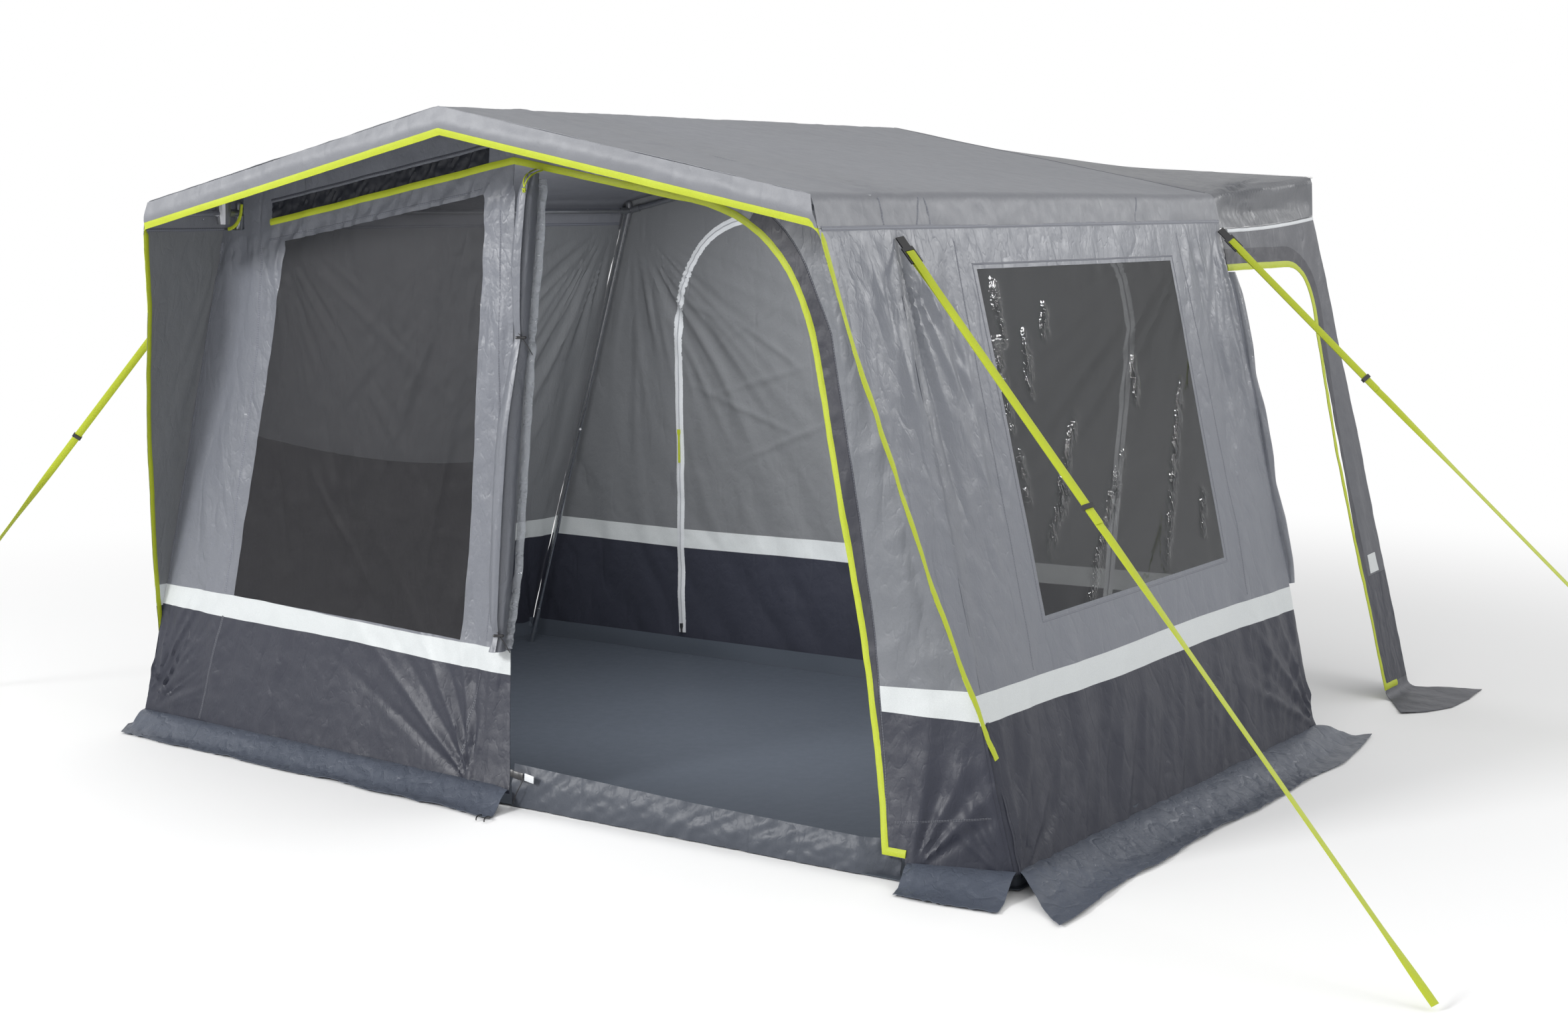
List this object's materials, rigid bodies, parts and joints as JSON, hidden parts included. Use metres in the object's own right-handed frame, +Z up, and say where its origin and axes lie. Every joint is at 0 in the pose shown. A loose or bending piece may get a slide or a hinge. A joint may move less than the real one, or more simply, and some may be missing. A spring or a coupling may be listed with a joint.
{
  "type": "campervan awning",
  "caption": "Free-standing campervan awning: ridged fabric room with porch roof, rolled door and window on a telescopic steel frame, with a roofed tunnel that joins it to the van.",
  "frame": {"origin": "on the ground, at the underside of the groundsheet, in the middle of the room between its side walls and between its front and rear eave lines", "axes": "+X to the right along the front as seen from in front, across the ridge; +Y from the front door towards the van, along the ridge; +Z up"},
  "size_m": [5.9965, 3.4283, 2.1],
  "materials": {
    "steel": "satin",
    "dark_steel": "satin",
    "roof_cloth": "matte",
    "light_cloth": "matte",
    "dark_cloth": "matte",
    "clear_film": "gloss",
    "mesh": "matte",
    "ground_cloth": "matte",
    "zip_tape": "matte",
    "white_cord": "matte",
    "lime_tape": "matte",
    "black_plastic": "matte"
  },
  "bodies": {
    "shelter": {"ridge_pole": "steel", "eave_pole_left": "steel", "eave_pole_right": "steel", "rafter_front_left": "steel", "rafter_front_right": "steel", "rafter_rear_left": "steel", "rafter_rear_right": "steel", "leg_upper_front_left": "steel", "leg_upper_front_right": "steel", "leg_upper_rear_left": "steel", "leg_upper_rear_right": "steel", "ridge_joint_front": "dark_steel", "ridge_joint_rear": "dark_steel", "corner_joint_front_left": "dark_steel", "corner_joint_front_right": "dark_steel", "corner_joint_rear_left": "dark_steel", "corner_joint_rear_right": "dark_steel", "roof": "roof_cloth", "tunnel_roof": "roof_cloth", "wall_left": "light_cloth", "wall_right": "light_cloth", "wall_front": "light_cloth", "wall_rear": "light_cloth", "rear_door": "light_cloth", "door_bundle": "light_cloth", "tunnel_wall_left": "light_cloth", "tunnel_wall_right": "light_cloth", "tunnel_bundle": "light_cloth", "window_flap": "dark_cloth", "window_right": "clear_film", "window_mesh": "mesh", "groundsheet": "ground_cloth", "mud_flap_left": "ground_cloth", "mud_flap_right": "ground_cloth", "rear_zip": "zip_tape", "keder_strip": "white_cord", "front_piping": "lime_tape", "door_piping": "lime_tape", "tunnel_piping": "lime_tape", "strap_front_right": "lime_tape", "strap_rear_right": "lime_tape", "strap_front_left": "lime_tape", "buckle_front_right": "black_plastic", "buckle_rear_right": "black_plastic", "buckle_front_left": "black_plastic"},
    "leg_lower_front_left": {"leg_lower_front_left": "steel"},
    "leg_screw_front_left": {"leg_screw_front_left": "steel"},
    "leg_lower_front_right": {"leg_lower_front_right": "steel"},
    "leg_screw_front_right": {"leg_screw_front_right": "steel"},
    "leg_lower_rear_left": {"leg_lower_rear_left": "steel"},
    "leg_screw_rear_left": {"leg_screw_rear_left": "steel"},
    "leg_lower_rear_right": {"leg_lower_rear_right": "steel"},
    "leg_screw_rear_right": {"leg_screw_rear_right": "steel"},
    "rear_slider_upper": {"rear_slider_upper": "lime_tape"},
    "rear_slider_lower": {"rear_slider_lower": "black_plastic"},
    "toggle_upper": {"toggle_upper": "black_plastic"},
    "toggle_lower": {"toggle_lower": "black_plastic"},
    "keeper_front_right": {"keeper_front_right": "black_plastic"},
    "keeper_front_left": {"keeper_front_left": "black_plastic"},
    "keeper_rear_right": {"keeper_rear_right": "black_plastic"}
  },
  "joints": [
    {"name": "leg_slide_front_left", "type": "slide", "parent": "shelter", "child": "leg_lower_front_left", "axis": [0.1963, -0.036, 0.9799], "range_m": [0, 0.45]},
    {"name": "leg_screw_turn_front_left", "type": "hinge", "parent": "shelter", "child": "leg_screw_front_left", "pos_m": [-1.4526, -0.99689, 0.89551], "axis": [0.6893, 0.7158, -0.1118], "range_deg": [0, 330]},
    {"name": "leg_slide_front_right", "type": "slide", "parent": "shelter", "child": "leg_lower_front_right", "axis": [-0.1963, -0.036, 0.9799], "range_m": [0, 0.45]},
    {"name": "leg_screw_turn_front_right", "type": "hinge", "parent": "shelter", "child": "leg_screw_front_right", "pos_m": [1.4526, -0.99689, 0.89551], "axis": [-0.6893, 0.7158, -0.1118], "range_deg": [0, 330]},
    {"name": "leg_slide_rear_left", "type": "slide", "parent": "shelter", "child": "leg_lower_rear_left", "axis": [0.1945, 0.1383, 0.9711], "range_m": [0, 0.45]},
    {"name": "leg_screw_turn_rear_left", "type": "hinge", "parent": "shelter", "child": "leg_screw_rear_left", "pos_m": [-1.45098, 0.90273, 0.9036], "axis": [0.6999, -0.7132, -0.0386], "range_deg": [0, 330]},
    {"name": "leg_slide_rear_right", "type": "slide", "parent": "shelter", "child": "leg_lower_rear_right", "axis": [-0.1945, 0.1383, 0.9711], "range_m": [0, 0.45]},
    {"name": "leg_screw_turn_rear_right", "type": "hinge", "parent": "shelter", "child": "leg_screw_rear_right", "pos_m": [1.45098, 0.90273, 0.9036], "axis": [-0.6999, -0.7132, -0.0386], "range_deg": [0, 330]},
    {"name": "rear_zip_pull", "type": "slide", "parent": "shelter", "child": "rear_slider_upper", "axis": [-0.0514, 0.0657, 0.9965], "range_m": [-0.4, 0.44]},
    {"name": "rear_zip_end_pull", "type": "slide", "parent": "shelter", "child": "rear_slider_lower", "axis": [-0.0514, 0.0657, 0.9965], "range_m": [0, 0.3]},
    {"name": "toggle_turn_upper", "type": "hinge", "parent": "shelter", "child": "toggle_upper", "pos_m": [0.05743, -1.11514, 1.42], "axis": [0.5736, -0.8192, 0], "range_deg": [-90, 90]},
    {"name": "toggle_turn_lower", "type": "hinge", "parent": "shelter", "child": "toggle_lower", "pos_m": [-0.02, -1.16237, 0.51], "axis": [0.5736, -0.8192, 0], "range_deg": [-90, 90]},
    {"name": "keeper_slide_front_right", "type": "slide", "parent": "shelter", "child": "keeper_front_right", "axis": [-0.6862, 0.1433, 0.7131], "range_m": [-0.04, 0.6]},
    {"name": "keeper_slide_front_left", "type": "slide", "parent": "shelter", "child": "keeper_front_left", "axis": [0.6862, 0.1433, 0.7131], "range_m": [-0.04, 0.64]},
    {"name": "keeper_slide_rear_right", "type": "slide", "parent": "shelter", "child": "keeper_rear_right", "axis": [-0.6863, -0.1716, 0.7068], "range_m": [-0.04, 0.42]}
  ]
}
